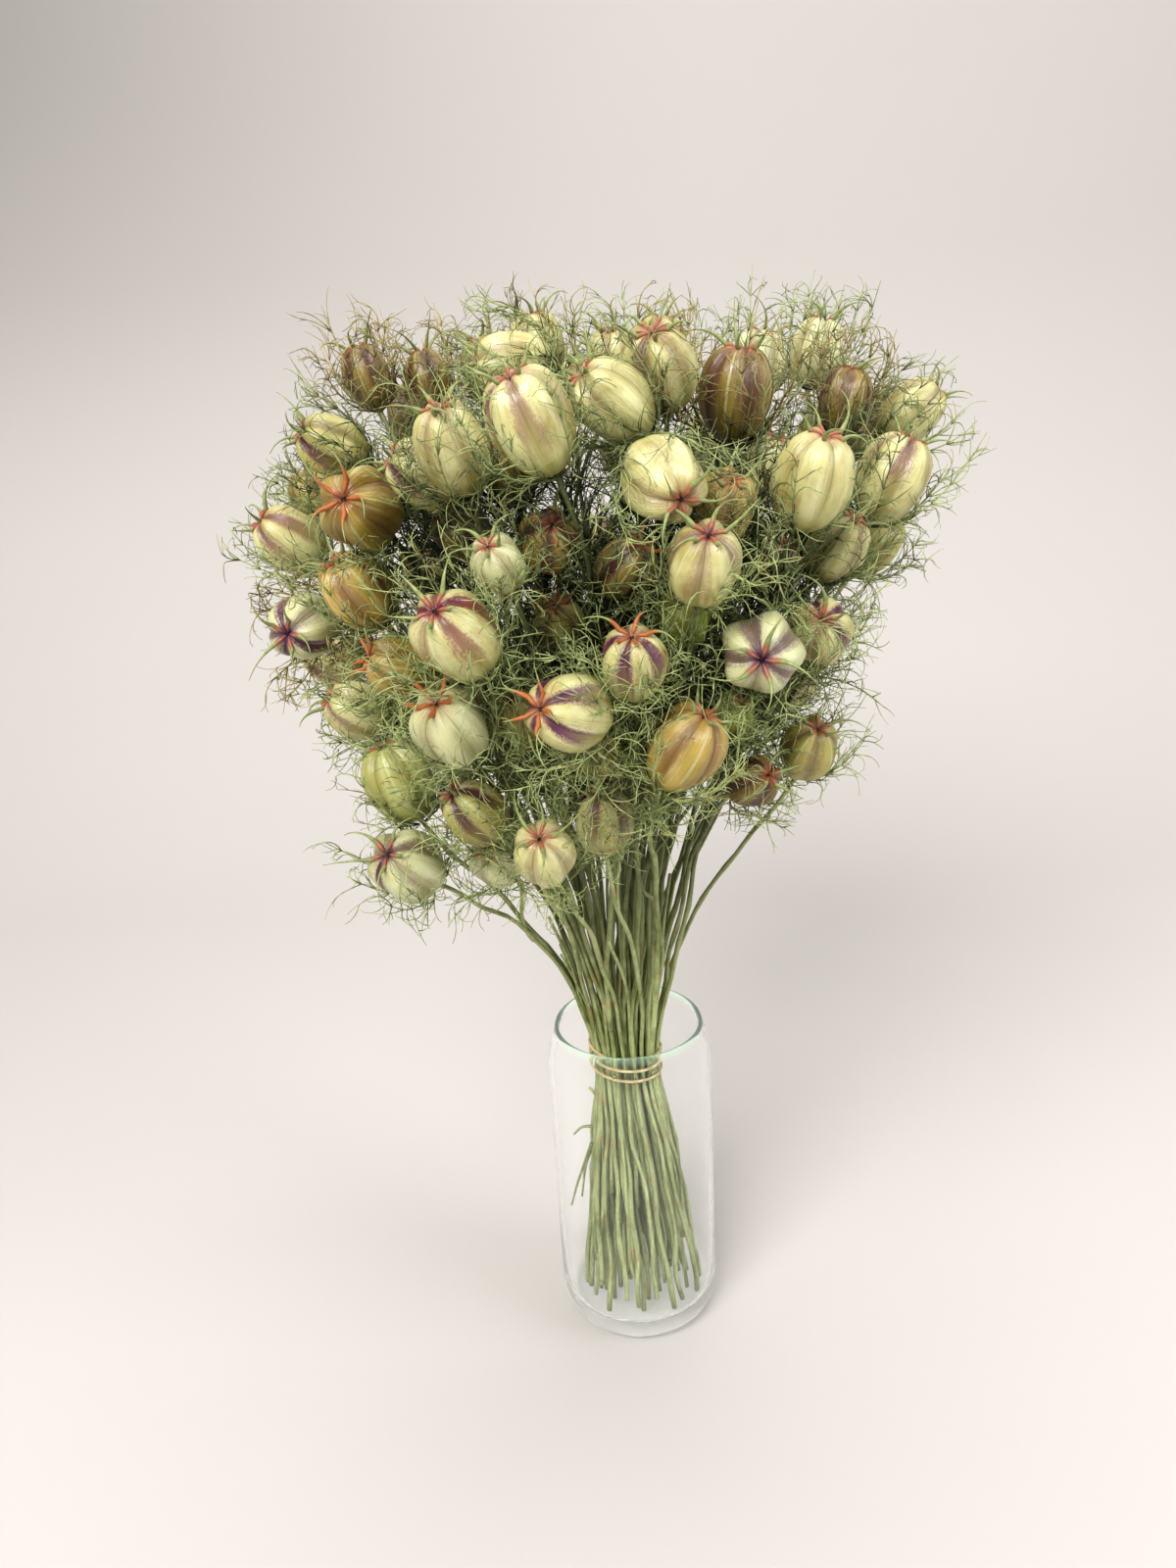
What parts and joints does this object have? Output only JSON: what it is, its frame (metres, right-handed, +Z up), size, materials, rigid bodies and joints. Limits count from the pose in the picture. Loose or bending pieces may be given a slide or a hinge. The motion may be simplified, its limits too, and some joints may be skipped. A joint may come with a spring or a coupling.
{
  "type": "dried nigella seed pod bunch in glass vase",
  "caption": "Tied bunch of dried nigella seed pods on thin ridged stems, each pod in a lace of thread-like bracts, standing in a clear can-shaped glass vase.",
  "frame": {"origin": "centre of the underside of the glass, on the surface it stands on", "axes": "+Z up along the glass's axis; -Y is the side the bunch faces; +X to the right of someone looking at it from the front"},
  "size_m": [0.2781, 0.2809, 0.4832],
  "materials": {
    "clear_glass": "polished",
    "band_rubber": "matte",
    "dried_nigella": "matte",
    "dried_bracts": "matte",
    "dried_stem": "matte"
  },
  "bodies": {
    "root": {"glass_vase": "clear_glass", "rubber_band": "band_rubber", "nigella_stem_01": "dried_nigella", "nigella_stem_02": "dried_nigella", "nigella_stem_03": "dried_nigella", "nigella_stem_04": "dried_nigella", "nigella_stem_05": "dried_nigella", "nigella_stem_06": "dried_nigella", "nigella_stem_07": "dried_nigella", "nigella_stem_08": "dried_nigella", "nigella_stem_09": "dried_nigella", "nigella_stem_10": "dried_nigella", "nigella_stem_11": "dried_nigella", "nigella_stem_12": "dried_nigella", "nigella_stem_13": "dried_nigella", "nigella_stem_14": "dried_nigella", "nigella_stem_15": "dried_nigella", "nigella_stem_16": "dried_nigella", "nigella_stem_17": "dried_nigella", "nigella_stem_18": "dried_nigella", "nigella_stem_19": "dried_nigella", "nigella_stem_20": "dried_nigella", "nigella_stem_21": "dried_nigella", "nigella_stem_22": "dried_nigella", "nigella_stem_23": "dried_nigella", "nigella_stem_24": "dried_nigella", "nigella_stem_25": "dried_nigella", "nigella_stem_26": "dried_nigella", "nigella_stem_27": "dried_nigella", "nigella_stem_28": "dried_nigella", "nigella_stem_29": "dried_nigella", "nigella_stem_30": "dried_nigella", "nigella_stem_31": "dried_nigella", "nigella_stem_32": "dried_nigella", "nigella_stem_33": "dried_nigella", "nigella_stem_34": "dried_nigella", "nigella_stem_35": "dried_nigella", "nigella_stem_36": "dried_nigella", "nigella_stem_37": "dried_nigella", "nigella_stem_38": "dried_nigella", "nigella_stem_39": "dried_nigella", "nigella_stem_40": "dried_nigella", "nigella_stem_41": "dried_nigella", "nigella_stem_42": "dried_nigella", "nigella_stem_43": "dried_nigella", "nigella_stem_44": "dried_nigella", "nigella_stem_45": "dried_nigella", "nigella_stem_46": "dried_nigella", "nigella_stem_47": "dried_nigella", "nigella_stem_48": "dried_nigella", "nigella_stem_49": "dried_nigella", "nigella_stem_50": "dried_nigella", "nigella_stem_51": "dried_nigella", "nigella_stem_52": "dried_nigella", "nigella_stem_53": "dried_nigella", "nigella_stem_54": "dried_nigella", "nigella_stem_55": "dried_nigella", "nigella_stem_56": "dried_nigella", "nigella_stem_57": "dried_nigella", "nigella_stem_58": "dried_nigella"}
  },
  "joints": []
}
